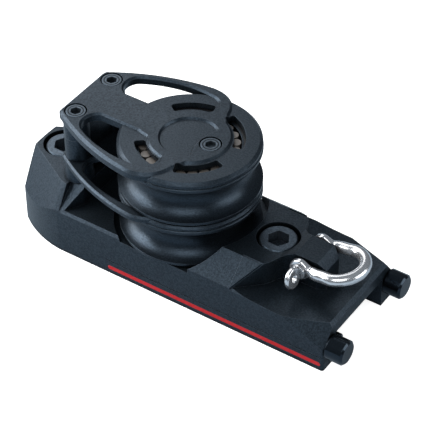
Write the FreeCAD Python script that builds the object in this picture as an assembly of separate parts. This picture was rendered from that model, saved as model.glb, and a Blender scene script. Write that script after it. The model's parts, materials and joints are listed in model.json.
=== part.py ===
import FreeCAD, Part
import math
import os

from FreeCAD import Vector

# Traveler end control, in millimetres.
# The origin lies on the base plane, under the common axis of the two sheaves.
# +X points along the track to the bumpers, -Y is the near side with the stripe, +Z is up.

# Driving dimensions of the base body
HALF_WIDTH = 26.4
REAR_X = 78.4                # flat end with the bumpers
REAR_CORNER_R = 1.2
SHOULDER_X = -47.2           # where the nose flanks leave the straight sides
FLANK_MIDDLE = (-59.8, 23.6)
FLANK_END = (-70.8, 17.5)
NOSE_TIP_X = -72.6
NOSE_TIP_BOW = 0.45          # how far the tip's face bows back halfway to its corner
SILL_Z = 21.4                # top of the side walls beside the pocket
DECK_Z = 30.8
LUG_TOP_Z = 32.6
SILL_BEVEL = 1.0

# Channel that rides over the track
CHANNEL_HALF_WIDTH = 17.2
CHANNEL_CEILING_Z = 14.0
CHANNEL_END_X = -68.5
CHANNEL_CORNER_R = 6.5

# Sheave pocket
POCKET_CLEARANCE = 2.5       # pocket radius over the sheave's
POCKET_FLOOR_Z = 19.4
NOSE_WALL_X = -40.0          # upright wall of the nose block
NOSE_WALL_HALF_WIDTH = 17.4  # where that wall starts to slant back
NOSE_OPEN_X = -46.4          # its slanted ends, at NOSE_OPEN_Y
NOSE_OPEN_Y = 29.0

# Deck, neck and shackle lug
DECK_HALF_WIDTH = 16.7       # right deck, at its top edge
NOSE_CORNER_R = 8.3          # nose deck round each post
NOSE_FACET_NORMAL = (-0.416, 0.752, 0.513)
SCOOP_START_X = 35.5         # where the scoop's edge leaves the side wall
SCOOP_WALL_END = (44.3, 16.5)
SCOOP_WALL_BEND = (46.2, 13.6)
SCOOP_KNEE = (47.3, 10.6)
NECK_MIDDLE = (50.0, 7.5)
NECK_START_X = 53.4
LUG_HALF_WIDTH = 6.35
LUG_TAPER_X = 62.5
LUG_END_X = 65.8
LUG_END_HALF_WIDTH = 4.6
LUG_RAMP_START_X = 47.5
LUG_RAMP_END_X = 52.5
LUG_NOSE_DROP = 3.7          # fall of the lug's end facet
DISH_R = 150.0               # wide hollow of the scoop's floor
DISH_X = 60.0
DISH_FLOOR_Z = 19.4
REAR_BEVEL = 1.6             # bevel on the top edge of the flat end
CORNER_CUT_POINT = (55.0, 26.4, 21.2)
CORNER_CUT_NORMAL = (0.249, 0.789, 0.561)

# Track bolts, M10 socket head
NOSE_BOLT_X = -62.6
DECK_BOLT_X = 41.1
BOLT_R = 5.0
BOLT_HOLE_CLEARANCE = 0.25
BOLT_HEAD_R = 7.7
BOLT_HEAD_HEIGHT = 9.0
BOLT_HEAD_DEPTH = 0.6        # head top below the deck
BOLT_HEX_AF = 8.0
BOLT_HEX_DEPTH = 5.0
BOLT_SEAT_CLEARANCE = 1.1    # counterbore radius over the head's
BOLT_POINT_Z = 5.5
BOLT_TIP_R = 4.25            # pilot end, below the channel's ceiling
BOLT_TIP_START = 0.4         # from the ceiling down to the free end
BOLT_TIP_CHAMFER = 0.8

# Bumpers
BUMPER_R = 5.15
BUMPER_STEM_R = 3.4
BUMPER_Z = 10.3
BUMPER_STAND_OUT = 8.0
BUMPER_ROOT_GAP = 0.5        # from the flat end to the bumper's head
BUMPER_DEPTH = 12.0
BUMPER_EDGE = 0.8
BUMPER_BORE_CLEARANCE = 0.05

# Small knob on the inside of the near leg
KNOB_R = 1.3
KNOB_SINK = 0.5              # depth of its seat in the leg's inner wall
KNOB_Z = 11.4
KNOB_START_X = 70.0
KNOB_STAND_OUT = 2.3
KNOB_BUMPER_GAP = 0.2        # relief beside the bumper's head

# Stripe and fine groove on the near side
STRIPE_Z = 3.0
STRIPE_HEIGHT = 1.9
STRIPE_DEPTH = 0.4
STRIPE_START_X = -22.7
STRIPE_END_X = 77.1
GROOVE_Z = 6.6
GROOVE_HEIGHT = 0.4
GROOVE_DEPTH = 0.3
GROOVE_START_X = -24.0

# Sheaves
SHEAVE_R = 28.5
SHEAVE_WIDTH = 17.8
SHEAVE_RIM = 1.4             # flange thickness at the rim
SHEAVE_RIM_ROUND = 0.35
GROOVE_ROOT_R = 22.3
SHEAVE_FACE_GAP = 0.4        # gap from a sheave to the plate beside it
LOWER_SHEAVE_LIFT = 0.9      # lower sheave over the pocket floor

# Bearings
ROLLER_COUNT = 24
ROLLER_RING_R = 17.85
ROLLER_R = 2.0
ROLLER_GAP = 0.3             # radial gap from a roller to either race
ROLLER_END_GAP = 0.6
THRUST_RING_R_IN = 20.9
THRUST_RING_R_OUT = 23.2
THRUST_RING_HEIGHT = 1.2
THRUST_RING_PROUD = 0.1

# Axle
AXLE_R = 6.0
AXLE_CLEARANCE = 0.05
AXLE_SEAT_DEPTH = 2.0
AXLE_TOP_SEAT = 0.9

# Side plates
MIDDLE_PLATE_THICKNESS = 2.4
MIDDLE_PLATE_STEP = 0.7      # frame over the disc
UPPER_PLATE_THICKNESS = 3.5
UPPER_PLATE_STEP = 1.0
DISC_R = 28.3
DISC_BEVEL = 1.2
MIDDLE_DISC_BEVEL = 0.8
HUB_R = 16.8
PLATE_BACK_X = -52.0
PLATE_BACK_HALF_WIDTH = 13.8
PLATE_CORNER_MIDDLE = (-51.5, 15.3)
PLATE_CORNER = (-50.3, 16.2)
RAIL_MIDDLE = (-28.0, 26.7)
RAIL_END = (-9.5, 30.7)
SHOULDER_MIDDLE = (0.7, 27.6)
SHOULDER_END = (5.4, 19.6)
HUB_START_DEG = 62.0
WINDOW_BACK_MIDDLE = (-40.2, 13.6)
WINDOW_SPINE_LEFT = (-36.5, 8.2)
WINDOW_SPINE_RIGHT = (-19.0, 8.2)
WINDOW_HUB_DEG = (146.0, 98.0)
WINDOW_END_MIDDLE = (-1.2, 21.2)
WINDOW_RAIL_RIGHT = (-6.0, 25.2)
WINDOW_RAIL_MIDDLE = (-22.0, 24.9)
WINDOW_RAIL_LEFT = (-37.0, 19.6)
PLATE_BEVEL = 1.1
MIDDLE_PLATE_BEVEL = 0.8
WINDOW_BEVEL = 0.8
WINDOW_ROUND = 0.8
SLOT_R_IN = 17.1
SLOT_R_OUT = 21.7
SLOT_ROUND = 1.2
SLOT_SPANS_DEG = ((13.0, 73.0), (95.0, 145.0), (219.0, 263.0), (286.0, 341.0))
RECESS_LEFT = (-11.9, -0.4)
RECESS_TOP = (7.6, 9.2)
RECESS_BOTTOM = (7.6, -10.4)
RECESS_ISLAND = (4.9, -0.8)
RECESS_ROUND = 1.4
RECESS_BEVEL = 0.7
RECESS_DEPTH = 1.0

# Posts and plate screws, M5 socket head
POST_X = -46.0
POST_Y = 11.9
POST_R = 5.2
POST_FOOT_R = 6.2            # lower post, where it meets the nose deck
SPACER_TOP_Z = 51.3
POST_WEB_THICKNESS = 4.0     # wall that joins the two posts
SCREW_R = 2.5
SCREW_HEAD_BEVEL = 0.08      # share of the head's radius
SCREW_POINT_BEVEL = 0.16     # share of the shank's radius
SCREW_CLEARANCE = 0.25
SCREW_THREAD_CLEARANCE = 0.05
SCREW_HEAD_R = 4.25
SCREW_HEAD_HEIGHT = 4.6
SCREW_HEAD_DEPTH = 0.2
SCREW_HEX_AF = 4.0
SCREW_HEX_DEPTH = 2.2
SCREW_SEAT_CLEARANCE = 0.3
POST_SCREW_POINT_Z = 17.5
HUB_SCREW_X = 9.6
HUB_SCREW_HEAD_HEIGHT = 2.3
HUB_SCREW_HEX_DEPTH = 1.5
HUB_SCREW_POINT_Z = 15.0

# Shackle
PIN_X = 56.7
PIN_Z = 28.5
PIN_R = 2.45
PIN_CLEARANCE = 0.07         # pin in the lug
EAR_CLEARANCE = 0.05         # pin in the shackle's ears
EAR_R = 4.6
EAR_THICKNESS = 3.0
EAR_GAP = 0.6                # from the lug's side to an ear
BOW_WIRE_R = 2.5
BOW_R = 9.74
BOW_CENTRE = 12.45           # from the pin to the middle of the bow's round end
BOW_TILT_DEG = 9.0
BOW_LEG_START = 5.6
BOW_ROUND_DEG = 104.0        # the round end runs this far each way
BOW_FLAT_MARGIN = 2.5        # the legs' flat inner sides stop this far before the round end's middle
COLLAR_R = 3.1
COLLAR_HEIGHT = 1.0
COLLAR_GAP = 0.1             # from an ear to the pin's collar
TAB_R = 4.4
TAB_CENTRE = 4.7             # from an ear to the middle of the tab
TAB_THICKNESS = 2.0
TAB_ROUND = 0.6
TAB_HOLE_R = 1.7

# Values worked out from the driving dimensions
POCKET_R = SHEAVE_R + POCKET_CLEARANCE
BUMPER_Y = (HALF_WIDTH + CHANNEL_HALF_WIDTH) / 2
LOWER_SHEAVE_Z = POCKET_FLOOR_Z + LOWER_SHEAVE_LIFT
MIDDLE_PLATE_Z = LOWER_SHEAVE_Z + SHEAVE_WIDTH + SHEAVE_FACE_GAP
UPPER_SHEAVE_Z = MIDDLE_PLATE_Z + MIDDLE_PLATE_THICKNESS + SHEAVE_FACE_GAP
UPPER_PLATE_Z = UPPER_SHEAVE_Z + SHEAVE_WIDTH + SHEAVE_FACE_GAP
UPPER_PLATE_TOP_Z = UPPER_PLATE_Z + UPPER_PLATE_THICKNESS
MIDDLE_PLATE_TOP_Z = MIDDLE_PLATE_Z + MIDDLE_PLATE_THICKNESS
INNER_RACE_R = ROLLER_RING_R - ROLLER_R - ROLLER_GAP
OUTER_RACE_R = ROLLER_RING_R + ROLLER_R + ROLLER_GAP
BOLT_HEAD_TOP_Z = DECK_Z - BOLT_HEAD_DEPTH
BOLT_SEAT_Z = BOLT_HEAD_TOP_Z - BOLT_HEAD_HEIGHT
EAR_INNER_Y = LUG_HALF_WIDTH + EAR_GAP
EAR_OUTER_Y = EAR_INNER_Y + EAR_THICKNESS
POST_SEATS = {"near": (POST_X, -POST_Y), "far": (POST_X, POST_Y)}
REACH = 200.0                # larger than the whole part, for cutting tools

X_AXIS = Vector(1, 0, 0)
Y_AXIS = Vector(0, 1, 0)
Z_AXIS = Vector(0, 0, 1)


def mirrored(shape):
    return shape.mirror(Vector(0, 0, 0), Y_AXIS)


def cylinder(radius, bottom, top, x=0.0, y=0.0):
    return Part.makeCylinder(radius, top - bottom, Vector(x, y, bottom), Z_AXIS)


def ring(inner, outer, bottom, top):
    return cylinder(outer, bottom, top).cut(cylinder(inner, bottom, top))


def block(x0, x1, y0, y1, z0, z1):
    return Part.makeBox(x1 - x0, y1 - y0, z1 - z0, Vector(x0, y0, z0))


def prism(points, along):
    """Straight edged outline, given as closed points, pushed along a vector."""
    wire = Part.makePolygon(points + [points[0]])
    return Part.Face(wire).extrude(along)


def beyond(point, outward):
    """Large block on the outer side of the plane through a point."""
    box = Part.makeBox(REACH, REACH, REACH, Vector(-REACH / 2, -REACH / 2, 0))
    turn = FreeCAD.Rotation(Z_AXIS, outward)
    box.Placement = FreeCAD.Placement(point, turn)
    return box


def hexagon(across_flats, bottom, top, x=0.0, y=0.0):
    corner = across_flats / math.sqrt(3.0)
    points = []
    for step in range(6):
        angle = math.radians(60.0 * step)
        points.append(Vector(x + corner * math.cos(angle), y + corner * math.sin(angle), bottom))
    return prism(points, Vector(0, 0, top - bottom))


def plan_face(curves):
    """Level face from far side curves and their mirror images."""
    both = curves + [mirrored(curve) for curve in curves]
    return Part.Face(Part.Wire(Part.__sortEdges__(both)))


def body_plan():
    """Plan of the base body: straight sides, bowed nose flanks and a nearly flat tip."""
    shoulder = Vector(SHOULDER_X, HALF_WIDTH, 0)
    middle = Vector(FLANK_MIDDLE[0], FLANK_MIDDLE[1], 0)
    flank_end = Vector(FLANK_END[0], FLANK_END[1], 0)
    tip_quarter = Vector(NOSE_TIP_X + NOSE_TIP_BOW, FLANK_END[1] / 2, 0)
    rear = Vector(REAR_X, HALF_WIDTH - REAR_CORNER_R, 0)
    side = Vector(REAR_X - REAR_CORNER_R, HALF_WIDTH, 0)
    inset = REAR_CORNER_R * (1 - math.sqrt(0.5))
    corner_middle = Vector(REAR_X - inset, HALF_WIDTH - inset, 0)
    return plan_face([
        Part.makeLine(Vector(REAR_X, 0, 0), rear),
        Part.Arc(rear, corner_middle, side).toShape(),
        Part.makeLine(side, shoulder),
        Part.Arc(shoulder, middle, flank_end).toShape(),
        Part.Arc(flank_end, tip_quarter, Vector(NOSE_TIP_X, 0, 0)).toShape(),
    ])


def nose_block():
    """Nose above its side walls: plane facets, rounded off about each post by a cone."""
    plan_x, plan_y, rise = NOSE_FACET_NORMAL
    level = math.hypot(plan_x, plan_y)
    spread = DECK_Z * rise / level
    block_solid = block(-REACH, POST_X + NOSE_CORNER_R, -REACH, REACH, 0, DECK_Z)
    inner = block(POST_X - NOSE_CORNER_R, NOSE_WALL_X, -POST_Y, POST_Y, 0, DECK_Z)
    cones = []
    for side in (-1, 1):
        outward = Vector(plan_x, side * plan_y, rise)
        reach_x = POST_X + NOSE_CORNER_R * plan_x / level
        reach_y = side * (POST_Y + NOSE_CORNER_R * plan_y / level)
        block_solid = block_solid.cut(beyond(Vector(reach_x, reach_y, DECK_Z), outward))
        onward = Vector(plan_y, -side * plan_x, 0)
        block_solid = block_solid.cut(beyond(Vector(POST_X, side * POST_Y, 0), onward))
        cones.append(Part.makeCone(NOSE_CORNER_R + spread, NOSE_CORNER_R, DECK_Z,
                                   Vector(POST_X, side * POST_Y, 0), Z_AXIS))
    nose = block_solid.fuse(cones[0]).fuse(cones[1]).fuse(inner)
    behind_wall = prism([Vector(-REACH, -NOSE_OPEN_Y, 0), Vector(NOSE_OPEN_X, -NOSE_OPEN_Y, 0),
                         Vector(NOSE_WALL_X, -NOSE_WALL_HALF_WIDTH, 0),
                         Vector(NOSE_WALL_X, NOSE_WALL_HALF_WIDTH, 0),
                         Vector(NOSE_OPEN_X, NOSE_OPEN_Y, 0), Vector(-REACH, NOSE_OPEN_Y, 0)],
                        Vector(0, 0, DECK_Z))
    return nose.common(behind_wall)


def body_block():
    """Body without its pocket, scoop and channel."""
    plan = body_plan()
    low = plan.extrude(Vector(0, 0, SILL_Z)).common(block(NOSE_OPEN_X, REACH, -REACH, REACH, 0, REACH))
    nose = plan.extrude(Vector(0, 0, DECK_Z)).common(nose_block())
    outline = [Vector(0, -HALF_WIDTH, 0), Vector(0, -HALF_WIDTH, SILL_Z),
               Vector(0, -DECK_HALF_WIDTH, DECK_Z),
               Vector(0, -DECK_HALF_WIDTH, LUG_TOP_Z), Vector(0, DECK_HALF_WIDTH, LUG_TOP_Z),
               Vector(0, DECK_HALF_WIDTH, DECK_Z), Vector(0, HALF_WIDTH, SILL_Z), Vector(0, HALF_WIDTH, 0)]
    high = prism(outline, Vector(REAR_X, 0, 0)).common(plan.extrude(Vector(0, 0, LUG_TOP_Z)))
    return low.fuse(nose).fuse(high)


def deck_cut():
    """Space over the deck, with the short ramp up to the lug."""
    outline = [Vector(-REACH, -REACH, DECK_Z), Vector(LUG_RAMP_START_X, -REACH, DECK_Z),
               Vector(LUG_RAMP_END_X, -REACH, LUG_TOP_Z), Vector(LUG_RAMP_END_X, -REACH, REACH),
               Vector(-REACH, -REACH, REACH)]
    return prism(outline, Vector(0, 2 * REACH, 0))


def lug_end_cut():
    """Sloping end facet of the lug."""
    outline = [Vector(LUG_TAPER_X, -REACH, LUG_TOP_Z), Vector(LUG_END_X, -REACH, LUG_TOP_Z - LUG_NOSE_DROP),
               Vector(REACH, -REACH, LUG_TOP_Z - LUG_NOSE_DROP), Vector(REACH, -REACH, REACH),
               Vector(LUG_TAPER_X, -REACH, REACH)]
    return prism(outline, Vector(0, 2 * REACH, 0))


def scoop_cut():
    """Space beside and behind the neck and the lug, over the dished floor."""
    wall_end = Vector(SCOOP_WALL_END[0], SCOOP_WALL_END[1], 0)
    knee = Vector(SCOOP_KNEE[0], SCOOP_KNEE[1], 0)
    start = Vector(SCOOP_START_X, HALF_WIDTH, 0)
    outer = start + (start - wall_end)
    neck_middle = Vector(NECK_MIDDLE[0], NECK_MIDDLE[1], 0)
    neck = Vector(NECK_START_X, LUG_HALF_WIDTH, 0)
    taper = Vector(LUG_TAPER_X, LUG_HALF_WIDTH, 0)
    end = Vector(LUG_END_X, LUG_END_HALF_WIDTH, 0)
    back = Vector(REACH / 2, outer.y, 0)
    plan = plan_face([
        Part.makeLine(Vector(REACH / 2, 0, 0), back),
        Part.makeLine(back, outer),
        Part.makeLine(outer, wall_end),
        Part.Arc(wall_end, Vector(SCOOP_WALL_BEND[0], SCOOP_WALL_BEND[1], 0), knee).toShape(),
        Part.Arc(knee, neck_middle, neck).toShape(),
        Part.makeLine(neck, taper),
        Part.makeLine(taper, end),
        Part.makeLine(end, Vector(LUG_END_X, 0, 0)),
    ])
    dish = Part.makeCylinder(DISH_R, REACH, Vector(DISH_X, -REACH / 2, DISH_FLOOR_Z + DISH_R), Y_AXIS)
    return plan.extrude(Vector(0, 0, REACH / 2)).common(dish)


def edge_bevel_cuts():
    """Chamfers of the rear corners, bevel of the flat end's top edge and of the side edges."""
    plan_x, plan_y, rise = CORNER_CUT_NORMAL
    point_x, point_y, point_z = CORNER_CUT_POINT
    rear_top_z = DISH_FLOOR_Z + DISH_R - math.sqrt(DISH_R ** 2 - (REAR_X - DISH_X) ** 2)
    cuts = [beyond(Vector(REAR_X, 0, rear_top_z - REAR_BEVEL), Vector(1, 0, 1))]
    for side in (-1, 1):
        cuts.append(beyond(Vector(point_x, side * point_y, point_z), Vector(plan_x, side * plan_y, rise)))
        bevel = beyond(Vector(0, side * HALF_WIDTH, SILL_Z - SILL_BEVEL), Vector(0, side, 1))
        cuts.append(bevel.common(block(NOSE_OPEN_X, 0, -REACH, REACH, 0, REACH)))
        cuts.append(bevel.common(block(SCOOP_START_X, REACH, -REACH, REACH, 0, REACH)))
    return cuts


def channel_cut():
    """Channel for the track, open at the rear and at the base."""
    channel = block(CHANNEL_END_X, REACH, -CHANNEL_HALF_WIDTH, CHANNEL_HALF_WIDTH, -1, CHANNEL_CEILING_Z)
    corners = [edge for edge in channel.Edges
               if abs(edge.CenterOfMass.x - CHANNEL_END_X) < 0.01 and abs(edge.CenterOfMass.y) > 1]
    return channel.makeFillet(CHANNEL_CORNER_R, corners)


def bolt_seat(x):
    seat = cylinder(BOLT_HEAD_R + BOLT_SEAT_CLEARANCE, BOLT_SEAT_Z, REACH, x)
    return seat.fuse(cylinder(BOLT_R + BOLT_HOLE_CLEARANCE, 0, REACH, x))


def bumper_bore(side):
    centre = Vector(REAR_X - BUMPER_DEPTH, side * BUMPER_Y, BUMPER_Z)
    return Part.makeCylinder(BUMPER_STEM_R + BUMPER_BORE_CLEARANCE, REACH, centre, X_AXIS)


def side_groove(z, height, x0, x1, depth):
    """Shallow groove with round ends in the near side wall."""
    radius = height / 2
    wall = Vector(0, -HALF_WIDTH, 0)
    middle = block(x0 + radius, x1 - radius, -HALF_WIDTH, -HALF_WIDTH + depth, z - radius, z + radius)
    first = Part.makeCylinder(radius, depth, wall + Vector(x0 + radius, 0, z), Y_AXIS)
    last = Part.makeCylinder(radius, depth, wall + Vector(x1 - radius, 0, z), Y_AXIS)
    return middle.fuse(first).fuse(last).removeSplitter()


def make_base_body():
    body = body_block()
    tools = [deck_cut(), lug_end_cut(), scoop_cut(), channel_cut()] + edge_bevel_cuts()
    tools.append(cylinder(POCKET_R, POCKET_FLOOR_Z, REACH))
    tools += [bolt_seat(NOSE_BOLT_X), bolt_seat(DECK_BOLT_X)]
    tools.append(cylinder(AXLE_R + AXLE_CLEARANCE, POCKET_FLOOR_Z - AXLE_SEAT_DEPTH, REACH))
    thread_r = SCREW_R + SCREW_THREAD_CLEARANCE
    tools.append(cylinder(thread_r, 0, REACH, HUB_SCREW_X))
    tools.append(Part.makeCylinder(PIN_R + PIN_CLEARANCE, REACH, Vector(PIN_X, -REACH / 2, PIN_Z), Y_AXIS))
    tools.append(side_groove(STRIPE_Z, STRIPE_HEIGHT, STRIPE_START_X, STRIPE_END_X, STRIPE_DEPTH))
    tools.append(side_groove(GROOVE_Z, GROOVE_HEIGHT, GROOVE_START_X, STRIPE_END_X, GROOVE_DEPTH))
    tools += [bumper_bore(-1), bumper_bore(1), make_knob()]
    for x, y in POST_SEATS.values():
        tools.append(cylinder(thread_r, POST_SCREW_POINT_Z, REACH, x, y))
    for tool in tools:
        body = body.cut(tool)
    return body.removeSplitter()


def make_side_stripe():
    return side_groove(STRIPE_Z, STRIPE_HEIGHT, STRIPE_START_X, STRIPE_END_X, STRIPE_DEPTH)


def socket_screw(x, y, head_r, head_top, head_height, shank_r, point_z, hex_af, hex_depth):
    """Socket head screw that stands upright, with a lightly bevelled head."""
    head = cylinder(head_r, head_top - head_height, head_top, x, y)
    rim = [edge for edge in head.Edges
           if abs(edge.CenterOfMass.z - head_top) < 0.01 and edge.Length > head_r]
    head = head.makeChamfer(head_r * SCREW_HEAD_BEVEL, rim)
    shank = cylinder(shank_r, point_z, head_top - head_height, x, y)
    tip = [edge for edge in shank.Edges
           if abs(edge.CenterOfMass.z - point_z) < 0.01 and edge.Length > shank_r]
    shank = shank.makeChamfer(shank_r * SCREW_POINT_BEVEL, tip)
    return head.fuse(shank).cut(hexagon(hex_af, head_top - hex_depth, REACH, x, y)).removeSplitter()


def make_track_bolt(x):
    """Track bolt with a slightly narrower free end."""
    bolt = socket_screw(x, 0, BOLT_HEAD_R, BOLT_HEAD_TOP_Z, BOLT_HEAD_HEIGHT, BOLT_R,
                        BOLT_POINT_Z, BOLT_HEX_AF, BOLT_HEX_DEPTH)
    tip_z = CHANNEL_CEILING_Z - BOLT_TIP_START
    tip = cylinder(BOLT_TIP_R, BOLT_POINT_Z, tip_z, x)
    end = [edge for edge in tip.Edges
           if abs(edge.CenterOfMass.z - BOLT_POINT_Z) < 0.01 and edge.Length > BOLT_TIP_R]
    tip = tip.makeChamfer(BOLT_TIP_CHAMFER, end)
    return bolt.cut(cylinder(BOLT_HEAD_R, 0, tip_z, x)).fuse(tip).removeSplitter()


def make_post_screw(x, y):
    return socket_screw(x, y, SCREW_HEAD_R, UPPER_PLATE_TOP_Z - SCREW_HEAD_DEPTH, SCREW_HEAD_HEIGHT,
                        SCREW_R, POST_SCREW_POINT_Z, SCREW_HEX_AF, SCREW_HEX_DEPTH)


def make_hub_screw():
    return socket_screw(HUB_SCREW_X, 0, SCREW_HEAD_R, UPPER_PLATE_TOP_Z - SCREW_HEAD_DEPTH,
                        HUB_SCREW_HEAD_HEIGHT, SCREW_R, HUB_SCREW_POINT_Z, SCREW_HEX_AF, HUB_SCREW_HEX_DEPTH)


def make_bumper(side):
    """Bumper with a narrower stem in the end of a leg."""
    stem_x = REAR_X - BUMPER_DEPTH
    head_x = REAR_X + BUMPER_ROOT_GAP
    front_x = REAR_X + BUMPER_STAND_OUT
    y = side * BUMPER_Y
    stem = Part.makeCylinder(BUMPER_STEM_R, head_x - stem_x, Vector(stem_x, y, BUMPER_Z), X_AXIS)
    head = Part.makeCylinder(BUMPER_R, front_x - head_x, Vector(head_x, y, BUMPER_Z), X_AXIS)
    front = [edge for edge in head.Edges
             if abs(edge.CenterOfMass.x - front_x) < 0.01 and edge.Length > BUMPER_R]
    return stem.fuse(head.makeChamfer(BUMPER_EDGE, front))


def make_knob():
    """Small round ended knob, seated in the inner wall of the near leg."""
    y = -CHANNEL_HALF_WIDTH - KNOB_SINK + KNOB_R
    start = Vector(KNOB_START_X, y, KNOB_Z)
    end = Vector(REAR_X + KNOB_STAND_OUT - KNOB_R, y, KNOB_Z)
    rod = Part.makeCylinder(KNOB_R, end.x - start.x, start, X_AXIS)
    head = Vector(REAR_X, -BUMPER_Y, BUMPER_Z)
    relief = Part.makeCylinder(BUMPER_R + KNOB_BUMPER_GAP, REACH, head, X_AXIS)
    return rod.fuse(Part.makeSphere(KNOB_R, end)).removeSplitter().cut(relief)


def sheave_profile(bottom):
    """Half section of a sheave with a deep round groove."""
    top = bottom + SHEAVE_WIDTH
    middle = bottom + SHEAVE_WIDTH / 2
    half_open = SHEAVE_WIDTH / 2 - SHEAVE_RIM
    edge_r = SHEAVE_R - SHEAVE_RIM_ROUND
    points = {
        "bore_low": Vector(OUTER_RACE_R, 0, bottom),
        "face_low": Vector(edge_r, 0, bottom),
        "rim_low": Vector(SHEAVE_R, 0, bottom + SHEAVE_RIM_ROUND),
        "lip_low": Vector(SHEAVE_R, 0, middle - half_open),
        "root": Vector(GROOVE_ROOT_R, 0, middle),
        "lip_high": Vector(SHEAVE_R, 0, middle + half_open),
        "rim_high": Vector(SHEAVE_R, 0, top - SHEAVE_RIM_ROUND),
        "face_high": Vector(edge_r, 0, top),
        "bore_high": Vector(OUTER_RACE_R, 0, top),
    }
    edges = [
        Part.makeLine(points["bore_low"], points["face_low"]),
        Part.makeLine(points["face_low"], points["rim_low"]),
        Part.makeLine(points["rim_low"], points["lip_low"]),
        Part.Arc(points["lip_low"], points["root"], points["lip_high"]).toShape(),
        Part.makeLine(points["lip_high"], points["rim_high"]),
        Part.makeLine(points["rim_high"], points["face_high"]),
        Part.makeLine(points["face_high"], points["bore_high"]),
        Part.makeLine(points["bore_high"], points["bore_low"]),
    ]
    return Part.Face(Part.Wire(edges))


def ring_levels(bottom):
    """Heights of the two thrust rings of the sheave that starts at bottom."""
    low = bottom - THRUST_RING_PROUD
    high = bottom + SHEAVE_WIDTH + THRUST_RING_PROUD - THRUST_RING_HEIGHT
    return low, high


def make_sheave(bottom):
    sheave = sheave_profile(bottom).revolve(Vector(0, 0, 0), Z_AXIS, 360)
    for level in ring_levels(bottom):
        seat = ring(THRUST_RING_R_IN, THRUST_RING_R_OUT, level, level + THRUST_RING_HEIGHT)
        sheave = sheave.cut(seat)
    return sheave


def make_thrust_ring(level):
    return ring(THRUST_RING_R_IN, THRUST_RING_R_OUT, level, level + THRUST_RING_HEIGHT)


def make_rollers(bottom):
    rollers = []
    low = bottom + ROLLER_END_GAP
    high = bottom + SHEAVE_WIDTH - ROLLER_END_GAP
    for number in range(ROLLER_COUNT):
        angle = 2 * math.pi * (number + 0.5) / ROLLER_COUNT
        x = ROLLER_RING_R * math.cos(angle)
        y = ROLLER_RING_R * math.sin(angle)
        rollers.append(cylinder(ROLLER_R, low, high, x, y))
    return Part.makeCompound(rollers)


def make_inner_race(bottom, top):
    race = ring(AXLE_R + AXLE_CLEARANCE, INNER_RACE_R, bottom, top)
    return race.cut(cylinder(SCREW_R + SCREW_CLEARANCE, bottom, top, HUB_SCREW_X))


def make_sheave_axle():
    return cylinder(AXLE_R, POCKET_FLOOR_Z - AXLE_SEAT_DEPTH, UPPER_PLATE_Z + AXLE_TOP_SEAT)


def at_height(point, z):
    return Vector(point[0], point[1], z)


def on_hub(angle_deg, z):
    turn = math.radians(angle_deg)
    return Vector(HUB_R * math.cos(turn), HUB_R * math.sin(turn), z)


def frame_outline(z):
    """Outline of a plate's raised frame: back edge, bowed rails, shoulders and hub."""
    back_end = Vector(PLATE_BACK_X, PLATE_BACK_HALF_WIDTH, z)
    corner = at_height(PLATE_CORNER, z)
    rail_end = at_height(RAIL_END, z)
    shoulder_end = at_height(SHOULDER_END, z)
    hub_start = on_hub(HUB_START_DEG, z)
    half = [
        Part.Arc(back_end, at_height(PLATE_CORNER_MIDDLE, z), corner).toShape(),
        Part.Arc(corner, at_height(RAIL_MIDDLE, z), rail_end).toShape(),
        Part.Arc(rail_end, at_height(SHOULDER_MIDDLE, z), shoulder_end).toShape(),
        Part.makeLine(shoulder_end, hub_start),
    ]
    near_back = Vector(back_end.x, -back_end.y, z)
    near_hub = on_hub(-HUB_START_DEG, z)
    crossing = [Part.makeLine(near_back, back_end),
                Part.Arc(near_hub, on_hub(0, z), hub_start).toShape()]
    both = half + [mirrored(edge) for edge in half] + crossing
    return Part.Wire(Part.__sortEdges__(both))


def window_outline(z):
    """Opening between the spine, a rail and the hub, on the far side."""
    spine_left = at_height(WINDOW_SPINE_LEFT, z)
    spine_right = at_height(WINDOW_SPINE_RIGHT, z)
    left_deg, right_deg = WINDOW_HUB_DEG
    hub_left = on_hub(left_deg, z)
    hub_right = on_hub(right_deg, z)
    rail_right = at_height(WINDOW_RAIL_RIGHT, z)
    rail_left = at_height(WINDOW_RAIL_LEFT, z)
    edges = [
        Part.makeLine(spine_left, spine_right),
        Part.makeLine(spine_right, hub_left),
        Part.Arc(hub_left, on_hub((left_deg + right_deg) / 2, z), hub_right).toShape(),
        Part.Arc(hub_right, at_height(WINDOW_END_MIDDLE, z), rail_right).toShape(),
        Part.Arc(rail_right, at_height(WINDOW_RAIL_MIDDLE, z), rail_left).toShape(),
        Part.Arc(rail_left, at_height(WINDOW_BACK_MIDDLE, z), spine_left).toShape(),
    ]
    return Part.Wire(edges)


def window_cut(bottom, top):
    """Window with rounded corners and a bevel round its upper edge."""
    sharp = window_outline(bottom)
    outline = sharp.makeOffset2D(-WINDOW_ROUND).makeOffset2D(WINDOW_ROUND)
    opening = Part.Face(outline).extrude(Vector(0, 0, top - bottom))
    low = outline.copy()
    low.translate(Vector(0, 0, top - bottom - WINDOW_BEVEL))
    high = outline.makeOffset2D(WINDOW_BEVEL)
    high.translate(Vector(0, 0, top - bottom))
    return opening, Part.makeLoft([low, high], True, True)


def bearing_slot(start_deg, end_deg, bottom, top):
    """Curved slot through the disc, with rounded corners."""
    ring_part = ring(SLOT_R_IN, SLOT_R_OUT, bottom, top)
    points = [Vector(0, 0, bottom)]
    for angle in (start_deg, (start_deg + end_deg) / 2, end_deg):
        turn = math.radians(angle)
        points.append(Vector(2 * SLOT_R_OUT * math.cos(turn), 2 * SLOT_R_OUT * math.sin(turn), bottom))
    sector = prism(points, Vector(0, 0, top - bottom))
    slot = ring_part.common(sector)
    uprights = [edge for edge in slot.Edges
                if len(edge.Vertexes) == 2 and abs(edge.Vertexes[0].Z - edge.Vertexes[1].Z) > 0.1]
    return slot.makeFillet(SLOT_ROUND, uprights)


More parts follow.
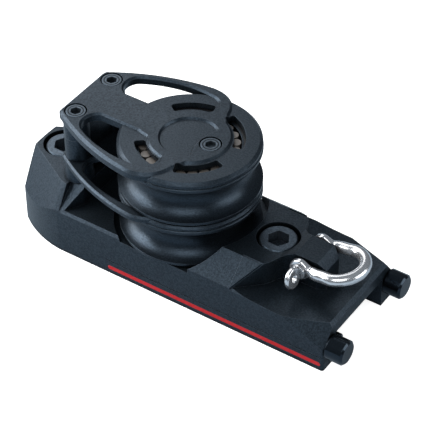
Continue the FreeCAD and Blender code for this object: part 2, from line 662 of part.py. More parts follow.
def plate_solid(bottom, thickness, step, bevel, disc_bevel):
    """Side plate: bevelled frame with two windows, over a lower disc."""
    top = bottom + thickness
    shoulder = frame_outline(top - bevel)
    edge = frame_outline(top).makeOffset2D(-bevel)
    frame = Part.Face(frame_outline(bottom)).extrude(Vector(0, 0, thickness - bevel))
    frame = frame.fuse(Part.makeLoft([shoulder, edge], True, True))
    for tool in window_cut(bottom, top):
        frame = frame.cut(tool).cut(mirrored(tool))
    disc = cylinder(DISC_R, bottom, top - step)
    disc_rim = [rim for rim in disc.Edges
                if abs(rim.CenterOfMass.z - top + step) < 0.01 and rim.Length > DISC_R]
    return frame.fuse(disc.makeChamfer(disc_bevel, disc_rim))


def post_web(y0, y1, z0, z1):
    """Part of the wall that joins the two posts."""
    half = POST_WEB_THICKNESS / 2
    return block(POST_X - half, POST_X + half, y0, y1, z0, z1)


def make_middle_plate():
    plate = plate_solid(MIDDLE_PLATE_Z, MIDDLE_PLATE_THICKNESS, MIDDLE_PLATE_STEP, MIDDLE_PLATE_BEVEL,
                        MIDDLE_DISC_BEVEL)
    for x, y in POST_SEATS.values():
        foot = Vector(x, y, DECK_Z)
        plate = plate.fuse(Part.makeCone(POST_FOOT_R, POST_R, MIDDLE_PLATE_Z - DECK_Z, foot, Z_AXIS))
    plate = plate.fuse(post_web(-POST_Y, POST_Y, DECK_Z, MIDDLE_PLATE_Z))
    plate = plate.cut(cylinder(AXLE_R + AXLE_CLEARANCE, MIDDLE_PLATE_Z, REACH))
    plate = plate.cut(cylinder(SCREW_R + SCREW_CLEARANCE, MIDDLE_PLATE_Z, REACH, HUB_SCREW_X))
    for x, y in POST_SEATS.values():
        plate = plate.cut(cylinder(SCREW_R + SCREW_CLEARANCE, 0, REACH, x, y))
    return plate.removeSplitter()


def hub_recess():
    """Comma shaped recess with bevelled sides, beside the hub screw."""
    top = UPPER_PLATE_TOP_Z
    high = at_height(RECESS_TOP, top)
    low = at_height(RECESS_BOTTOM, top)
    outline = Part.Wire([
        Part.Arc(high, at_height(RECESS_LEFT, top), low).toShape(),
        Part.Arc(low, at_height(RECESS_ISLAND, top), high).toShape(),
    ])
    rounded = outline.makeOffset2D(-RECESS_ROUND).makeOffset2D(RECESS_ROUND)
    floor = rounded.makeOffset2D(-RECESS_BEVEL)
    floor.translate(Vector(0, 0, -RECESS_DEPTH))
    return Part.makeLoft([floor, rounded], True, True)


def screw_seat(x, y, head_height):
    seat_z = UPPER_PLATE_TOP_Z - SCREW_HEAD_DEPTH - head_height
    seat = cylinder(SCREW_HEAD_R + SCREW_SEAT_CLEARANCE, seat_z, REACH, x, y)
    return seat.fuse(cylinder(SCREW_R + SCREW_CLEARANCE, 0, REACH, x, y))


def make_upper_plate():
    plate = plate_solid(UPPER_PLATE_Z, UPPER_PLATE_THICKNESS, UPPER_PLATE_STEP, PLATE_BEVEL, DISC_BEVEL)
    for start_deg, end_deg in SLOT_SPANS_DEG:
        plate = plate.cut(bearing_slot(start_deg, end_deg, UPPER_PLATE_Z, UPPER_PLATE_TOP_Z))
    for x, y in POST_SEATS.values():
        plate = plate.fuse(cylinder(POST_R, SPACER_TOP_Z, UPPER_PLATE_Z, x, y))
    plate = plate.fuse(post_web(-POST_Y, POST_Y, SPACER_TOP_Z, UPPER_PLATE_Z))
    plate = plate.cut(hub_recess())
    plate = plate.cut(cylinder(AXLE_R + AXLE_CLEARANCE, UPPER_PLATE_Z, UPPER_PLATE_Z + AXLE_TOP_SEAT))
    plate = plate.cut(screw_seat(HUB_SCREW_X, 0, HUB_SCREW_HEAD_HEIGHT))
    for x, y in POST_SEATS.values():
        plate = plate.cut(screw_seat(x, y, SCREW_HEAD_HEIGHT))
    return plate.removeSplitter()


def make_spacer(x, y):
    spacer = cylinder(POST_R, MIDDLE_PLATE_TOP_Z, SPACER_TOP_Z, x, y)
    spacer = spacer.fuse(post_web(min(y, 0), max(y, 0), MIDDLE_PLATE_TOP_Z, SPACER_TOP_Z))
    return spacer.cut(cylinder(SCREW_R + SCREW_CLEARANCE, 0, REACH, x, y))


def tilted(shape):
    """Turns a shackle shape from level to its resting tilt about the pin."""
    turned = shape.copy()
    turned.rotate(Vector(PIN_X, 0, PIN_Z), Y_AXIS, -BOW_TILT_DEG)
    return turned


def bow_path():
    """Middle line of the bow's wire, level with the pin: two legs and a round end."""
    middle_x = PIN_X + BOW_CENTRE
    leg_y = EAR_INNER_Y + EAR_THICKNESS / 2
    turn = math.radians(BOW_ROUND_DEG)
    join_x = middle_x + BOW_R * math.cos(turn)
    join_y = BOW_R * math.sin(turn)
    leg_x = PIN_X + BOW_LEG_START
    near_leg = Part.makeLine(Vector(leg_x, -leg_y, PIN_Z), Vector(join_x, -join_y, PIN_Z))
    end = Part.Arc(Vector(join_x, -join_y, PIN_Z), Vector(middle_x + BOW_R, 0, PIN_Z),
                   Vector(join_x, join_y, PIN_Z)).toShape()
    far_leg = Part.makeLine(Vector(join_x, join_y, PIN_Z), Vector(leg_x, leg_y, PIN_Z))
    return [near_leg, end, far_leg]


def bow_wire():
    """Round wire along the bow's path, with balls over the joints of the path."""
    near_leg, end, far_leg = bow_path()
    middle = Vector(PIN_X + BOW_CENTRE, 0, PIN_Z)
    ring_solid = Part.makeTorus(BOW_R, BOW_WIRE_R, middle, Z_AXIS)
    start = end.Vertexes[0].Point
    finish = end.Vertexes[-1].Point
    outline = [middle, middle + (start - middle) * 3, middle + Vector(4 * BOW_R, -4 * BOW_R, 0),
               middle + Vector(4 * BOW_R, 4 * BOW_R, 0), middle + (finish - middle) * 3]
    sector = prism([point - Vector(0, 0, BOW_WIRE_R * 2) for point in outline], Vector(0, 0, BOW_WIRE_R * 4))
    wire = ring_solid.common(sector)
    for leg in (near_leg, far_leg):
        first = leg.Vertexes[0].Point
        last = leg.Vertexes[-1].Point
        wire = wire.fuse(Part.makeCylinder(BOW_WIRE_R, leg.Length, first, last - first))
        for point in (first, last):
            wire = wire.fuse(Part.makeSphere(BOW_WIRE_R, point))
    return wire


def make_shackle_bow():
    """Bow shackle: round wire, and two flat ears that stand upright beside the lug."""
    bow = bow_wire()
    slot = block(PIN_X - REACH, PIN_X + BOW_CENTRE - BOW_FLAT_MARGIN, -EAR_INNER_Y, EAR_INNER_Y, 0, REACH)
    for side in (-1, 1):
        low = min(side * EAR_INNER_Y, side * EAR_OUTER_Y)
        bow = bow.fuse(Part.makeCylinder(EAR_R, EAR_THICKNESS, Vector(PIN_X, low, PIN_Z), Y_AXIS))
    bow = bow.cut(slot)
    radius = PIN_R + EAR_CLEARANCE
    bore = Part.makeCylinder(radius, REACH, Vector(PIN_X, -REACH / 2, PIN_Z), Y_AXIS)
    return tilted(bow.cut(bore))


def make_shackle_pin():
    """Pin with a flattened, drilled tab as its head."""
    collar_y = -EAR_OUTER_Y - COLLAR_GAP - COLLAR_HEIGHT
    tab_y = -EAR_OUTER_Y - TAB_CENTRE
    shank = Part.makeCylinder(PIN_R, EAR_OUTER_Y - collar_y, Vector(PIN_X, collar_y, PIN_Z), Y_AXIS)
    collar = Part.makeCylinder(COLLAR_R, COLLAR_HEIGHT, Vector(PIN_X, collar_y, PIN_Z), Y_AXIS)
    tab = Part.makeCylinder(TAB_R, TAB_THICKNESS, Vector(PIN_X - TAB_THICKNESS / 2, tab_y, PIN_Z), X_AXIS)
    tab = tab.makeFillet(TAB_ROUND, [edge for edge in tab.Edges if edge.Length > TAB_R * 5])
    eye = Part.makeCylinder(TAB_HOLE_R, REACH, Vector(0, tab_y, PIN_Z), X_AXIS)
    return tilted(shank.fuse(collar).fuse(tab).cut(eye).removeSplitter())


def make_all():
    lower_low, lower_high = ring_levels(LOWER_SHEAVE_Z)
    upper_low, upper_high = ring_levels(UPPER_SHEAVE_Z)
    nodes = {
        "base_body": make_base_body(),
        "side_stripe": make_side_stripe(),
        "nose_bolt": make_track_bolt(NOSE_BOLT_X),
        "deck_bolt": make_track_bolt(DECK_BOLT_X),
        "near_bumper": make_bumper(-1),
        "far_bumper": make_bumper(1),
        "inner_knob": make_knob(),
        "sheave_axle": make_sheave_axle(),
        "lower_inner_race": make_inner_race(POCKET_FLOOR_Z, MIDDLE_PLATE_Z),
        "upper_inner_race": make_inner_race(MIDDLE_PLATE_TOP_Z, UPPER_PLATE_Z),
        "lower_sheave": make_sheave(LOWER_SHEAVE_Z),
        "upper_sheave": make_sheave(UPPER_SHEAVE_Z),
        "lower_rollers": make_rollers(LOWER_SHEAVE_Z),
        "upper_rollers": make_rollers(UPPER_SHEAVE_Z),
        "lower_sheave_bottom_ring": make_thrust_ring(lower_low),
        "lower_sheave_top_ring": make_thrust_ring(lower_high),
        "upper_sheave_bottom_ring": make_thrust_ring(upper_low),
        "upper_sheave_top_ring": make_thrust_ring(upper_high),
        "middle_plate": make_middle_plate(),
        "upper_plate": make_upper_plate(),
        "hub_screw": make_hub_screw(),
        "shackle_bow": make_shackle_bow(),
        "shackle_pin": make_shackle_pin(),
    }
    for side, (x, y) in POST_SEATS.items():
        nodes[side + "_spacer"] = make_spacer(x, y)
        nodes[side + "_post_screw"] = make_post_screw(x, y)
    return nodes


os.makedirs("parts", exist_ok=True)
for name, shape in make_all().items():
    shape.exportStep("parts/" + name + ".step")
    print(name, "solids", len(shape.Solids), "valid", shape.isValid(), "volume", round(shape.Volume, 1))
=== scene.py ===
import json
import math

import bpy
from mathutils import Matrix, Vector


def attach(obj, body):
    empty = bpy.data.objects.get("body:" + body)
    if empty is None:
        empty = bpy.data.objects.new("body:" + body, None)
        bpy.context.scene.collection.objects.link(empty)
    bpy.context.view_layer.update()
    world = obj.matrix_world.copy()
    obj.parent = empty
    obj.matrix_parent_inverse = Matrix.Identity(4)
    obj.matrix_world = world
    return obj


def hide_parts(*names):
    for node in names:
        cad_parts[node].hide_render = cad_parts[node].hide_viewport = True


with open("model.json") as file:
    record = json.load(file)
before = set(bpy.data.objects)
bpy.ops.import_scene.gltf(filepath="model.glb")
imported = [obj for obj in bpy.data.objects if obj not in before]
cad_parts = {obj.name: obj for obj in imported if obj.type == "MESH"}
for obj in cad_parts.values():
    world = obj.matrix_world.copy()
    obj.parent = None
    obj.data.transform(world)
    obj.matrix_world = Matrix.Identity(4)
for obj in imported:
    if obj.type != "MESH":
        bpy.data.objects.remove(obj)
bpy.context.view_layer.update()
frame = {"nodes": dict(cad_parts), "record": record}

NODES = frame["nodes"]
MM = 0.001

# Grain, wear, painted corner shade and painted edge highlight values that all surfaces share
BROAD_GRAIN = 45.0
BROAD_WEAR = (0.35, 0.75)
FINE_GLEAM = (0.35, 0.65)
SHADER_SAMPLES = 6
CORNER_SHADE_REACH_MM = 3.0
CORNER_SHADE_RANGE = (0.15, 0.85)
EDGE_MATCH = (0.90, 0.995)
EDGE_HIGHLIGHT_COLOUR = (0.105, 0.125, 0.150, 1.0)
RELIEF_DEPTH = 0.0002
BLACK = (0.0, 0.0, 0.0, 1.0)
WHITE = (1.0, 1.0, 1.0, 1.0)


def new_material(name):
    material = bpy.data.materials.new(name)
    material.use_nodes = True
    tree = material.node_tree
    shader = tree.nodes["Principled BSDF"]
    return material, tree, shader


def noise(tree, scale, detail=3.0, roughness=0.55, stretch=(1.0, 1.0, 1.0)):
    """Noise in the row frame, so that every piece has its own grain."""
    place = tree.nodes.new("ShaderNodeNewGeometry")
    mapping = tree.nodes.new("ShaderNodeMapping")
    mapping.inputs["Scale"].default_value = stretch
    texture = tree.nodes.new("ShaderNodeTexNoise")
    texture.inputs["Scale"].default_value = scale
    texture.inputs["Detail"].default_value = detail
    texture.inputs["Roughness"].default_value = roughness
    tree.links.new(place.outputs["Position"], mapping.inputs["Vector"])
    tree.links.new(mapping.outputs["Vector"], texture.inputs["Vector"])
    return texture.outputs["Fac"]


def spread(tree, value, low, high, start=0.3, end=0.7):
    """Maps a noise value onto a range."""
    node = tree.nodes.new("ShaderNodeMapRange")
    node.inputs["From Min"].default_value = start
    node.inputs["From Max"].default_value = end
    node.inputs["To Min"].default_value = low
    node.inputs["To Max"].default_value = high
    tree.links.new(value, node.inputs["Value"])
    return node.outputs["Result"]


def mixed_colour(tree, factor, first, second):
    node = tree.nodes.new("ShaderNodeMix")
    node.data_type = "RGBA"
    node.inputs[6].default_value = (*first, 1.0)
    node.inputs[7].default_value = (*second, 1.0)
    tree.links.new(factor, node.inputs[0])
    return node.outputs[2]


def painted_ring_shade(tree):
    """Painted shade factor: a dark ring where a turned groove would lie in shade and a dark band at the
    outer edge for the shaded gap round the head, counted from the middle of a screw head outwards.
    """
    place = tree.nodes.new("ShaderNodeTexCoord")
    centred = tree.nodes.new("ShaderNodeVectorMath")
    centred.operation = "SUBTRACT"
    centred.inputs[1].default_value = (0.5, 0.5, 0.5)
    flat = tree.nodes.new("ShaderNodeVectorMath")
    flat.operation = "MULTIPLY"
    flat.inputs[1].default_value = (2.0, 2.0, 0.0)
    length = tree.nodes.new("ShaderNodeVectorMath")
    length.operation = "LENGTH"
    ramp = tree.nodes.new("ShaderNodeValToRGB")
    ramp.color_ramp.elements[0].position = 0.0
    ramp.color_ramp.elements[1].position = 1.0
    for position in RING_EDGES:
        ramp.color_ramp.elements.new(position)
    for element, shade in zip(ramp.color_ramp.elements, RING_SHADES):
        element.color = (shade, shade, shade, 1.0)
    tree.links.new(place.outputs["Generated"], centred.inputs[0])
    tree.links.new(centred.outputs["Vector"], flat.inputs[0])
    tree.links.new(flat.outputs["Vector"], length.inputs[0])
    tree.links.new(length.outputs["Value"], ramp.inputs["Fac"])
    return ramp.outputs["Color"]


def painted_corner_shade(tree, reach_mm, deepest):
    """Painted shade: a factor that falls towards the given value in corners, seams and slots, where shade
    would fall.
    """
    shade = tree.nodes.new("ShaderNodeAmbientOcclusion")
    shade.samples = SHADER_SAMPLES
    shade.inputs["Distance"].default_value = reach_mm * MM
    return spread(tree, shade.outputs["AO"], deepest, 1.0, *CORNER_SHADE_RANGE)


def painted_edge_highlight(tree, soft_normal, strength):
    """Mask of the sharp edges, painted lighter as an edge highlight."""
    place = tree.nodes.new("ShaderNodeNewGeometry")
    match = tree.nodes.new("ShaderNodeVectorMath")
    match.operation = "DOT_PRODUCT"
    tree.links.new(soft_normal, match.inputs[0])
    tree.links.new(place.outputs["Normal"], match.inputs[1])
    return spread(tree, match.outputs["Value"], strength, 0.0, *EDGE_MATCH)


def product(tree, first, second):
    node = tree.nodes.new("ShaderNodeMath")
    node.operation = "MULTIPLY"
    tree.links.new(first, node.inputs[0])
    tree.links.new(second, node.inputs[1])
    return node.outputs[0]


def surface(name, colour, worn, rough, metallic=0.0, grain=1500.0, bump=0.35, edge_mm=0.25,
            specular=0.5, tint=(1.0, 1.0, 1.0), stretch=(1.0, 1.0, 1.0), ring_shaded=False, edge_highlight_strength=0.0,
            speckle=0.0, corner_shade_depth=1.0):
    """Coated surface: fine grain, patchy roughness, faint wear, softened edges, painted shade in corners and
    recesses (and in rings on screw heads) and a painted highlight along sharp edges.
    """
    material, tree, shader = new_material(name)
    fine = noise(tree, grain, 2.0, 0.6, stretch)
    broad = noise(tree, BROAD_GRAIN, 4.0)
    colour_out = mixed_colour(tree, spread(tree, broad, 0.0, 1.0, *BROAD_WEAR), colour, worn)
    soft_edge = tree.nodes.new("ShaderNodeBevel")
    soft_edge.samples = SHADER_SAMPLES
    soft_edge.inputs["Radius"].default_value = edge_mm * MM
    # Painted highlight: a lighter colour along sharp edges.
    if edge_highlight_strength:
        highlighted_edge = tree.nodes.new("ShaderNodeMix")
        highlighted_edge.data_type = "RGBA"
        highlighted_edge.inputs[7].default_value = EDGE_HIGHLIGHT_COLOUR
        tree.links.new(painted_edge_highlight(tree, soft_edge.outputs["Normal"], edge_highlight_strength), highlighted_edge.inputs[0])
        tree.links.new(colour_out, highlighted_edge.inputs[6])
        colour_out = highlighted_edge.outputs[2]
    # Painted shade: darkens the colour towards black in corners, seams and slots.
    shade = painted_corner_shade(tree, CORNER_SHADE_REACH_MM, corner_shade_depth)
    # Screw heads also get painted shade rings.
    if ring_shaded:
        shade = product(tree, shade, painted_ring_shade(tree))
    painted_shade_mix = tree.nodes.new("ShaderNodeMix")
    painted_shade_mix.data_type = "RGBA"
    painted_shade_mix.inputs[6].default_value = BLACK
    tree.links.new(shade, painted_shade_mix.inputs[0])
    tree.links.new(colour_out, painted_shade_mix.inputs[7])
    tree.links.new(painted_shade_mix.outputs[2], shader.inputs["Base Color"])
    tree.links.new(spread(tree, broad, rough[0], rough[1]), shader.inputs["Roughness"])
    gleam = spread(tree, fine, specular * (1 - speckle), specular * (1 + speckle), *FINE_GLEAM)
    # Painted shade also dims the reflection there.
    tree.links.new(product(tree, gleam, shade), shader.inputs["Specular IOR Level"])
    shader.inputs["Metallic"].default_value = metallic
    shader.inputs["Specular Tint"].default_value = (*tint, 1.0)
    relief = tree.nodes.new("ShaderNodeBump")
    relief.inputs["Strength"].default_value = bump
    relief.inputs["Distance"].default_value = RELIEF_DEPTH
    tree.links.new(fine, relief.inputs["Height"])
    tree.links.new(soft_edge.outputs["Normal"], relief.inputs["Normal"])
    tree.links.new(relief.outputs["Normal"], shader.inputs["Normal"])
    return material


# Painted shade rings on screw heads: ring edges and the shade factor at each.
RING_EDGES = (0.62, 0.68, 0.74, 0.80, 0.92)
RING_SHADES = (1.0, 1.0, 0.15, 0.15, 1.0, 1.0, 0.1)
BLUE = (0.55, 0.76, 1.0)
# Shared anodised settings: blue specular tint, painted edge highlight, speckle and painted corner shade
# depth.
ANODISED = {"tint": BLUE, "edge_highlight_strength": 0.45, "speckle": 0.35, "corner_shade_depth": 0.12}
MATERIALS = {
    "anodised_body": surface("anodised_body", (0.0046, 0.0065, 0.0082), (0.0060, 0.0084, 0.0105),
                             (0.34, 0.44), edge_mm=0.22, **ANODISED),
    "plate_black": surface("plate_black", (0.0052, 0.0072, 0.0092), (0.0068, 0.0094, 0.0118), (0.32, 0.42),
                           edge_mm=0.22, **ANODISED),
    "spacer_black": surface("spacer_black", (0.0040, 0.0054, 0.0068), (0.0050, 0.0068, 0.0085), (0.32, 0.42),
                            edge_mm=0.2, **ANODISED),
    "sheave_black": surface("sheave_black", (0.0040, 0.0054, 0.0070), (0.0052, 0.0070, 0.0088), (0.26, 0.34),
                            edge_mm=0.2, stretch=(1.0, 1.0, 3.0), **ANODISED),
    "red_stripe": surface("red_stripe", (0.56, 0.012, 0.016), (0.50, 0.010, 0.013), (0.40, 0.52),
                          specular=0.3, edge_mm=0.1, bump=0.04),
    "black_bolt": surface("black_bolt", (0.018, 0.023, 0.028), (0.036, 0.042, 0.050), (0.28, 0.40),
                          specular=1.0, tint=BLUE, edge_mm=0.45, edge_highlight_strength=0.5, speckle=0.4, corner_shade_depth=0.05),
    "black_screw": surface("black_screw", (0.022, 0.028, 0.034), (0.034, 0.042, 0.050), (0.26, 0.38),
                           specular=0.8, tint=BLUE, edge_mm=0.25, ring_shaded=True, edge_highlight_strength=0.5, speckle=0.3,
                           corner_shade_depth=0.05),
    "bumper_gloss": surface("bumper_gloss", (0.0030, 0.0038, 0.0046), (0.0040, 0.0050, 0.0060), (0.10, 0.18),
                            tint=BLUE, edge_mm=0.3, bump=0.02, corner_shade_depth=0.3),
    "race_alloy": surface("race_alloy", (0.10, 0.10, 0.105), (0.13, 0.13, 0.135), (0.30, 0.42),
                          metallic=0.9, edge_mm=0.15),
    "roller_plastic": surface("roller_plastic", (0.270, 0.245, 0.222), (0.320, 0.290, 0.262), (0.34, 0.44),
                              edge_mm=0.3, bump=0.05, corner_shade_depth=0.1),
    "ring_plastic": surface("ring_plastic", (0.010, 0.010, 0.011), (0.014, 0.014, 0.015), (0.34, 0.44),
                            edge_mm=0.1, bump=0.05, corner_shade_depth=0.1),
    "polished_steel": surface("polished_steel", (0.74, 0.75, 0.77), (0.64, 0.65, 0.67), (0.16, 0.26),
                              metallic=0.88, edge_mm=0.3, bump=0.05, grain=700.0, corner_shade_depth=0.1),
}


def paint_cad():
    for part in frame["record"]["subparts"]:
        node = NODES[part["node"]]
        material = MATERIALS[part["material_slot"]]
        node.data.materials.clear()
        node.data.materials.append(material)


PIN = (56.7, 28.5)
BOW_TILT = math.radians(9.0)
EAR_INNER = 6.95
EAR_RADIUS = 4.6
EAR_HALF_THICKNESS = 1.5
EAR_TIP_HEIGHT = 0.15
EAR_TIP_SHARE = 0.55
EAR_SQUARENESS = 3.4
WIRE_RADIUS = 2.45
WIRE_SQUARENESS = 2.0
ARM_NARROWS = (0.5, 5.6)
ARM_THICKENS = (2.0, 8.5)
ARM_ROUNDS = (2.5, 7.5)
BOW_RADIUS = 9.74
BOW_CENTRE = 12.45
BOW_TURN = math.radians(104.0)
EAR_STEPS = 24
ARM_STEPS = 30
ROUND_STEPS = 40
BLEND_STEPS = 10
RING_POINTS = 36


def smooth_step(value, low, high):
    share = min(max((value - low) / (high - low), 0.0), 1.0)
    return share * share * (3.0 - 2.0 * share)


def ear_height(along):
    return math.sqrt(max(EAR_RADIUS ** 2 - along ** 2, 0.0))


def bow_stations():
    """Half of the bow, from its ear's tip to the middle of its round end.

    Each station has its place along and across, half height, half width and squareness.
    """
    stations = []
    for step in range(EAR_STEPS):
        along = -EAR_RADIUS * math.cos(math.pi / 2 * step / EAR_STEPS)
        height = ear_height(along)
        width = EAR_HALF_THICKNESS * min(1.0, EAR_TIP_SHARE + height / EAR_RADIUS)
        y = EAR_INNER + EAR_HALF_THICKNESS
        stations.append((along, y, max(height, EAR_TIP_HEIGHT), width, EAR_SQUARENESS))
    join = BOW_CENTRE + BOW_RADIUS * math.cos(BOW_TURN)
    for step in range(ARM_STEPS):
        along = join * step / ARM_STEPS
        narrowed = smooth_step(along, *ARM_NARROWS)
        height = ear_height(along) * (1 - narrowed) + WIRE_RADIUS * narrowed
        width = EAR_HALF_THICKNESS + (WIRE_RADIUS - EAR_HALF_THICKNESS) * smooth_step(along, *ARM_THICKENS)
        rounded = smooth_step(along, *ARM_ROUNDS)
        squareness = EAR_SQUARENESS - (EAR_SQUARENESS - WIRE_SQUARENESS) * rounded
        stations.append((along, EAR_INNER + width, height, width, squareness))
    for step in range(ROUND_STEPS + 1):
        turn = BOW_TURN * (1 - step / ROUND_STEPS)
        drift = smooth_step(step, 0, BLEND_STEPS)
        y = (EAR_INNER + WIRE_RADIUS) * (1 - drift) + BOW_RADIUS * math.sin(turn) * drift
        along = BOW_CENTRE + BOW_RADIUS * math.cos(turn)
        stations.append((along, y, WIRE_RADIUS, WIRE_RADIUS, WIRE_SQUARENESS))
    return stations


def bow_ring(before, after, station):
    """One cross section of the bow, square to its path."""
    along, y, height, width, squareness = station
    path = Vector((after[0] - before[0], after[1] - before[1], 0.0)).normalized()
    across = Vector((-path.y, path.x, 0.0))
    points = []
    for number in range(RING_POINTS):
        angle = 2 * math.pi * number / RING_POINTS
        cosine = math.cos(angle)
        sine = math.sin(angle)
        reach = (abs(cosine) ** squareness + abs(sine) ** squareness) ** (-1 / squareness)
        level = Vector((along, y, 0.0)) + across * width * reach * cosine
        rise = height * reach * sine
        x = PIN[0] + level.x * math.cos(BOW_TILT) - rise * math.sin(BOW_TILT)
        z = PIN[1] + level.x * math.sin(BOW_TILT) + rise * math.cos(BOW_TILT)
        points.append((x * MM, level.y * MM, z * MM))
    return points


def add_bow():
    """Forged shackle bow: round wire that flattens into its two ears."""
    half = bow_stations()
    near_half = [(along, -y, *section) for along, y, *section in half]
    whole = near_half + list(reversed(half[:-1]))
    vertices = []
    for index, station in enumerate(whole):
        before = whole[max(index - 1, 0)]
        after = whole[min(index + 1, len(whole) - 1)]
        vertices.extend(bow_ring(before, after, station))
    faces = []
    for index in range(len(whole) - 1):
        low = index * RING_POINTS
        high = low + RING_POINTS
        for number in range(RING_POINTS):
            onward = (number + 1) % RING_POINTS
            faces.append((low + number, low + onward, high + onward, high + number))
    faces.append(tuple(reversed(range(RING_POINTS))))
    last = (len(whole) - 1) * RING_POINTS
    faces.append(tuple(range(last, last + RING_POINTS)))
    mesh = bpy.data.meshes.new("bow_forged")
    mesh.from_pydata(vertices, [], faces)
    for polygon in mesh.polygons:
        polygon.use_smooth = True
    mesh.update()
    bow = bpy.data.objects.new("bow_forged", mesh)
    bpy.context.scene.collection.objects.link(bow)
    mesh.materials.append(MATERIALS["polished_steel"])
    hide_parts("shackle_bow")
    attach(bow, "shackle_bow")


FLANK_START_X = 35.5
FLANK_TOP = (16.75, 30.76)
FLANK_LOW = (26.36, 21.42)
FLANK_KNEE = (42.6, 18.1)
FLANK_INNER_X = 43.7
FLANK_DEPTH = 1.2


def add_flank_facing(name, side):
    """Thin facing that carries the flank's slope on to the edge of the dished end."""
    top_y, top_z = FLANK_TOP
    low_y, low_z = FLANK_LOW
    slope = (top_z - low_z) / (low_y - top_y)
    knee_x, knee_y = FLANK_KNEE
    outline = [(FLANK_START_X, low_y), (FLANK_START_X, top_y), (FLANK_INNER_X, top_y), (knee_x, knee_y)]
    vertices = []
    for drop in (0.0, FLANK_DEPTH):
        for x, y in outline:
            z = low_z + slope * (low_y - y) - drop
            vertices.append((x * MM, side * y * MM, z * MM))
    faces = [(0, 1, 2, 3), (7, 6, 5, 4), (0, 4, 5, 1), (1, 5, 6, 2), (2, 6, 7, 3), (3, 7, 4, 0)]
    if side < 0:
        faces = [tuple(reversed(face)) for face in faces]
    mesh = bpy.data.meshes.new(name)
    mesh.from_pydata(vertices, [], faces)
    facing = bpy.data.objects.new(name, mesh)
    bpy.context.scene.collection.objects.link(facing)
    mesh.materials.append(MATERIALS["anodised_body"])
    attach(facing, "base")


FLOOR_REACH = 4.0
PAPER = (0.80, 0.80, 0.80, 1.0)
PAPER_GLOW = 0.80
FLOOR_SHADE = (0.44, 0.53, 0.61, 1.0)


def add_floor():
    """Plain pale floor that runs out of the picture."""
    mesh = bpy.data.meshes.new("floor")
    reach = FLOOR_REACH
    corners = [(-reach, -reach, 0), (reach, -reach, 0), (reach, reach, 0), (-reach, reach, 0)]
    mesh.from_pydata(corners, [], [(0, 1, 2, 3)])
    floor = bpy.data.objects.new("floor", mesh)
    bpy.context.scene.collection.objects.link(floor)
    material = bpy.data.materials.new("floor_paper")
    material.use_nodes = True
    tree = material.node_tree
    tree.nodes.clear()
    output = tree.nodes.new("ShaderNodeOutputMaterial")
    paper = tree.nodes.new("ShaderNodeBsdfDiffuse")
    paper.inputs["Color"].default_value = PAPER
    glow = tree.nodes.new("ShaderNodeEmission")
    glow.inputs["Color"].default_value = WHITE
    glow.inputs["Strength"].default_value = PAPER_GLOW
    seen = tree.nodes.new("ShaderNodeLightPath")
    both = tree.nodes.new("ShaderNodeAddShader")
    pick = tree.nodes.new("ShaderNodeMixShader")
    dim = tree.nodes.new("ShaderNodeBsdfDiffuse")
    dim.inputs["Color"].default_value = FLOOR_SHADE
    tree.links.new(paper.outputs[0], both.inputs[0])
    tree.links.new(glow.outputs[0], both.inputs[1])
    tree.links.new(seen.outputs["Is Camera Ray"], pick.inputs[0])
    tree.links.new(dim.outputs[0], pick.inputs[1])
    tree.links.new(both.outputs[0], pick.inputs[2])
    tree.links.new(pick.outputs[0], output.inputs["Surface"])
    mesh.materials.append(material)


STUDIO_STRENGTH = 0.23
STUDIO_LOW = (0.45, 0.52, 0.60, 1.0)
STUDIO_HIGH = (0.80, 0.90, 1.0, 1.0)


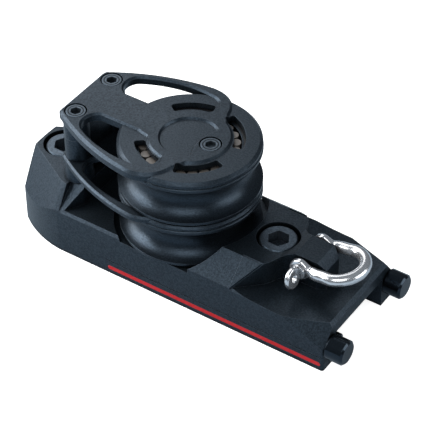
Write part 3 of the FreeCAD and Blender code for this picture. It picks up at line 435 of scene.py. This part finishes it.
def add_world():
    """Even studio light that is brighter from above, and white where the camera sees past the floor."""
    world = bpy.data.worlds.new("studio")
    bpy.context.scene.world = world
    world.use_nodes = True
    tree = world.node_tree
    tree.nodes.clear()
    output = tree.nodes.new("ShaderNodeOutputWorld")
    white = tree.nodes.new("ShaderNodeBackground")
    white.inputs["Color"].default_value = WHITE
    white.inputs["Strength"].default_value = 1.0
    studio = tree.nodes.new("ShaderNodeBackground")
    studio.inputs["Strength"].default_value = STUDIO_STRENGTH
    seen = tree.nodes.new("ShaderNodeLightPath")
    pick = tree.nodes.new("ShaderNodeMixShader")
    place = tree.nodes.new("ShaderNodeTexCoord")
    split = tree.nodes.new("ShaderNodeSeparateXYZ")
    ramp = tree.nodes.new("ShaderNodeValToRGB")
    ramp.color_ramp.elements[0].position = 0.0
    ramp.color_ramp.elements[0].color = STUDIO_LOW
    ramp.color_ramp.elements[1].position = 1.0
    ramp.color_ramp.elements[1].color = STUDIO_HIGH
    tree.links.new(place.outputs["Generated"], split.inputs[0])
    tree.links.new(split.outputs["Z"], ramp.inputs["Fac"])
    tree.links.new(ramp.outputs["Color"], studio.inputs["Color"])
    tree.links.new(seen.outputs["Is Camera Ray"], pick.inputs[0])
    tree.links.new(studio.outputs[0], pick.inputs[1])
    tree.links.new(white.outputs[0], pick.inputs[2])
    tree.links.new(pick.outputs[0], output.inputs["Surface"])


LIGHTS_AIM = (0.0, 0.0, 0.03)


def add_light(name, azimuth, elevation, distance, size, power):
    """Soft rectangular light that faces the object; azimuth is counted from +X towards +Y."""
    data = bpy.data.lights.new(name, "AREA")
    data.shape = "RECTANGLE"
    data.size = size[0]
    data.size_y = size[1]
    data.energy = power
    lamp = bpy.data.objects.new(name, data)
    bpy.context.scene.collection.objects.link(lamp)
    turn = math.radians(azimuth)
    rise = math.radians(elevation)
    away = Vector((math.cos(turn) * math.cos(rise), math.sin(turn) * math.cos(rise), math.sin(rise)))
    lamp.location = Vector(LIGHTS_AIM) + away * distance
    lamp.rotation_euler = (-away).to_track_quat("-Z", "Y").to_euler()


SENSOR_WIDTH = 36.0
LENS = 166.19
CAMERA_PLACE = (0.341843, -0.486367, 0.543809)
CAMERA_RIGHT = (0.82977, 0.55808, -0.00531)
CAMERA_UP = (-0.36486, 0.54963, 0.75152)
CAMERA_BACK = (0.42233, -0.62165, 0.65969)


def add_camera():
    data = bpy.data.cameras.new("camera")
    data.sensor_width = SENSOR_WIDTH
    data.lens = LENS
    data.clip_start = 0.01
    data.clip_end = 50.0
    camera = bpy.data.objects.new("camera", data)
    bpy.context.scene.collection.objects.link(camera)
    turn = Matrix((CAMERA_RIGHT, CAMERA_UP, CAMERA_BACK)).transposed().to_4x4()
    turn.translation = Vector(CAMERA_PLACE)
    camera.matrix_world = turn
    bpy.context.scene.camera = camera


paint_cad()
add_bow()
add_flank_facing("near_flank_facing", -1)
add_flank_facing("far_flank_facing", 1)
add_floor()
add_world()
add_light("back_left_panel", 155.0, 43.0, 0.55, (0.5, 0.35), 1.15)
add_light("left_panel", 205.0, 28.0, 0.8, (0.6, 0.6), 8.5)
add_light("front_fill", 292.0, 45.0, 1.0, (0.7, 0.5), 3.5)
add_light("right_panel", 15.0, 18.0, 0.8, (0.6, 0.4), 2.5)
add_camera()

scene = bpy.context.scene
scene.view_settings.view_transform = "Standard"
